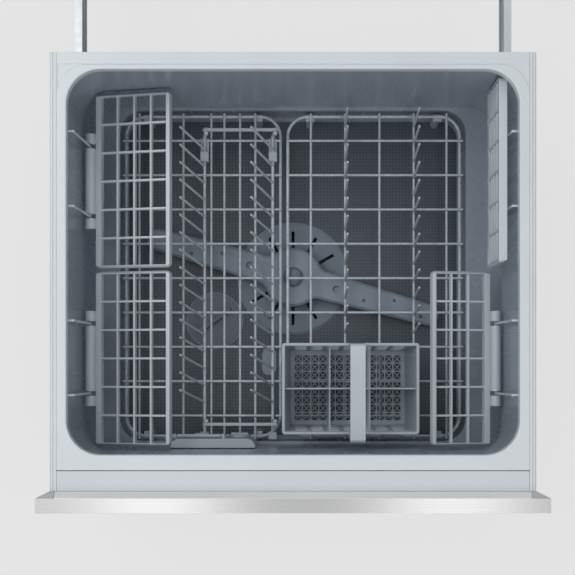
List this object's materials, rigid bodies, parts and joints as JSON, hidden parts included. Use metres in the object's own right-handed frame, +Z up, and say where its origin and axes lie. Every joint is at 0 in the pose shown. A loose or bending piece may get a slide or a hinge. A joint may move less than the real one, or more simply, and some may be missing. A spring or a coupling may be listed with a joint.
{
  "type": "dishwasher drawer",
  "caption": "Open dishwasher drawer: wash tub on telescopic side rails with front panel, base racks, folding cup racks, cutlery basket and spray arm.",
  "frame": {"origin": "centre of the flat underside of the base tray, on which the part stands", "axes": "+X to the right, -Y towards the user, +Z up; the drawer closes along +Y"},
  "size_m": [0.599, 1.046, 0.38],
  "materials": {
    "tub_liner": "grey moulded polypropylene",
    "rim_cover": "pale grey moulded plastic",
    "apron": "pale grey moulded plastic",
    "steel_skin": "brushed stainless steel",
    "end_cap": "grey moulded plastic",
    "dark_moulding": "dark moulded plastic",
    "grip": "dark grey moulded plastic",
    "bracket_steel": "galvanised steel",
    "board": "printed circuit board",
    "lens": "clear moulded plastic",
    "key": "moulded plastic",
    "rail_steel": "zinc plated steel",
    "screw_steel": "plated steel",
    "base_plastic": "moulded polypropylene",
    "sump_plastic": "moulded polypropylene",
    "motor": "painted motor housing",
    "impeller": "moulded plastic",
    "pump": "moulded plastic",
    "heater": "stainless steel tube",
    "filter_plate": "blue grey moulded plastic",
    "sump_cover": "blue grey moulded plastic",
    "filter_plastic": "grey moulded plastic",
    "arm_plastic": "blue grey moulded plastic",
    "dispenser": "moulded plastic",
    "dispenser_lid": "moulded plastic",
    "rinse_cap": "moulded plastic",
    "wire_coat": "blue grey nylon coating on steel wire",
    "clip_plastic": "moulded nylon",
    "cup_plastic": "pale grey moulded polypropylene",
    "basket_plastic": "pale grey moulded polypropylene",
    "handle_plastic": "pale grey moulded polypropylene"
  },
  "bodies": {
    "cabinet_rails": {"fixed_rail_left": "rail_steel", "fixed_rail_right": "rail_steel"},
    "drawer": {"tub": "tub_liner", "tub_rim": "rim_cover", "front_apron": "apron", "rim_side_trims": "rim_cover", "front_skin": "steel_skin", "panel_end_caps": "end_cap", "front_frame": "dark_moulding", "grip_recess": "grip", "front_brackets": "bracket_steel", "control_board": "board", "status_lenses": "lens", "drawer_rail_left": "rail_steel", "drawer_rail_right": "rail_steel", "rail_screws": "screw_steel", "base_tray": "base_plastic", "tray_screws": "screw_steel", "sump_housing": "sump_plastic", "wash_motor": "motor", "drain_pump": "pump", "heater_element": "heater", "filter_plate": "filter_plate", "sump_cover": "sump_cover", "spray_arm_cap": "filter_plastic", "dispenser_body": "dispenser", "left_rack_frame": "wire_coat", "left_rack_wires": "wire_coat", "right_rack_frame": "wire_coat", "right_rack_wires": "wire_coat", "plate_tines": "wire_coat", "rack_feet": "clip_plastic", "fold_clips": "clip_plastic", "hanger_wires": "wire_coat"},
    "mid_rails": {"mid_rail_left": "rail_steel", "mid_rail_right": "rail_steel"},
    "power_key": {"power_key": "key"},
    "start_key": {"start_key": "key"},
    "wash_key": {"wash_key": "key"},
    "lock_key": {"lock_key": "key"},
    "wash_impeller": {"wash_impeller": "impeller"},
    "drain_filter": {"drain_filter": "filter_plastic"},
    "spray_arm": {"spray_arm": "arm_plastic"},
    "dispenser_lid": {"dispenser_lid": "dispenser_lid"},
    "rinse_aid_cap": {"rinse_aid_cap": "rinse_cap"},
    "fold_row_inner": {"fold_row_inner": "wire_coat"},
    "fold_row_outer": {"fold_row_outer": "wire_coat"},
    "fold_link_front": {"fold_link_front": "clip_plastic"},
    "fold_link_rear": {"fold_link_rear": "clip_plastic"},
    "cup_rack_rear_left": {"cup_rack_rear_left": "cup_plastic"},
    "cup_rack_front_left": {"cup_rack_front_left": "cup_plastic"},
    "cup_rack_rear_right": {"cup_rack_rear_right": "cup_plastic"},
    "cup_rack_front_right": {"cup_rack_front_right": "cup_plastic"},
    "basket": {"cutlery_basket": "basket_plastic", "basket_handle": "handle_plastic"}
  },
  "joints": [
    {"name": "drawer_slide", "type": "slide", "parent": "cabinet_rails", "child": "drawer", "axis": [0, 1, 0], "range_m": [0, 0.51]},
    {"name": "mid_rail_slide", "type": "slide", "parent": "cabinet_rails", "child": "mid_rails", "axis": [0, 1, 0], "range_m": [0, 0.255]},
    {"name": "cup_rack_rear_left_hinge", "type": "hinge", "parent": "drawer", "child": "cup_rack_rear_left", "pos_m": [-0.2555, 0.1115, 0.244], "axis": [0, -1, 0], "range_deg": [0, 75]},
    {"name": "cup_rack_front_left_hinge", "type": "hinge", "parent": "drawer", "child": "cup_rack_front_left", "pos_m": [-0.2555, -0.1115, 0.244], "axis": [0, -1, 0], "range_deg": [0, 75]},
    {"name": "cup_rack_rear_right_hinge", "type": "hinge", "parent": "drawer", "child": "cup_rack_rear_right", "pos_m": [0.2555, 0.1115, 0.244], "axis": [0, 1, 0], "range_deg": [-75, 0]},
    {"name": "cup_rack_front_right_hinge", "type": "hinge", "parent": "drawer", "child": "cup_rack_front_right", "pos_m": [0.2555, -0.1115, 0.244], "axis": [0, 1, 0], "range_deg": [0, 75]},
    {"name": "fold_row_inner_hinge", "type": "hinge", "parent": "drawer", "child": "fold_row_inner", "pos_m": [-0.027, 0, 0.1388], "axis": [0, -1, 0], "range_deg": [0, 66]},
    {"name": "fold_row_outer_hinge", "type": "hinge", "parent": "drawer", "child": "fold_row_outer", "pos_m": [-0.118, 0, 0.1388], "axis": [0, -1, 0], "range_deg": [0, 66]},
    {"name": "fold_link_front_hinge", "type": "hinge", "parent": "fold_row_inner", "child": "fold_link_front", "pos_m": [-0.02366, -0.197, 0.16257], "axis": [0, -1, 0], "range_deg": [-66, 0]},
    {"name": "fold_link_rear_hinge", "type": "hinge", "parent": "fold_row_inner", "child": "fold_link_rear", "pos_m": [-0.02366, 0.1905, 0.16257], "axis": [0, -1, 0], "range_deg": [-66, 0]},
    {"name": "basket_lift", "type": "slide", "parent": "drawer", "child": "basket", "axis": [0, 0, 1], "range_m": [0, 0.3]},
    {"name": "spray_arm_spin", "type": "hinge", "parent": "drawer", "child": "spray_arm", "pos_m": [0, 0, 0.105], "axis": [0, 0, 1], "continuous": true},
    {"name": "impeller_spin", "type": "hinge", "parent": "drawer", "child": "wash_impeller", "pos_m": [0, 0, 0.05], "axis": [0, 0, 1], "continuous": true},
    {"name": "drain_filter_twist", "type": "hinge", "parent": "drawer", "child": "drain_filter", "pos_m": [-0.108, -0.058, 0.08], "axis": [0, 0, 1], "range_deg": [0, 90]},
    {"name": "dispenser_lid_hinge", "type": "hinge", "parent": "drawer", "child": "dispenser_lid", "pos_m": [-0.12, -0.21019, 0.218], "axis": [1, 0, 0], "range_deg": [0, 85]},
    {"name": "rinse_aid_cap_twist", "type": "hinge", "parent": "drawer", "child": "rinse_aid_cap", "pos_m": [-0.069, -0.21319, 0.194], "axis": [0, 1, 0], "range_deg": [0, 90]},
    {"name": "power_key_press", "type": "slide", "parent": "drawer", "child": "power_key", "axis": [0, 1, 0], "range_m": [0, 0.0015], "stiffness_N_per_m": 400, "springref_m": -0.001},
    {"name": "start_key_press", "type": "slide", "parent": "drawer", "child": "start_key", "axis": [0, 1, 0], "range_m": [0, 0.0015], "stiffness_N_per_m": 400, "springref_m": -0.001},
    {"name": "wash_key_press", "type": "slide", "parent": "drawer", "child": "wash_key", "axis": [0, 1, 0], "range_m": [0, 0.0015], "stiffness_N_per_m": 400, "springref_m": -0.001},
    {"name": "lock_key_press", "type": "slide", "parent": "drawer", "child": "lock_key", "axis": [0, 1, 0], "range_m": [0, 0.0015], "stiffness_N_per_m": 400, "springref_m": -0.001}
  ],
  "couplings": [
    {"joint": "mid_rail_slide", "follows": "drawer_slide", "ratio": 0.5},
    {"joint": "fold_row_outer_hinge", "follows": "fold_row_inner_hinge", "ratio": 1},
    {"joint": "fold_link_front_hinge", "follows": "fold_row_inner_hinge", "ratio": -1},
    {"joint": "fold_link_rear_hinge", "follows": "fold_row_inner_hinge", "ratio": -1}
  ]
}
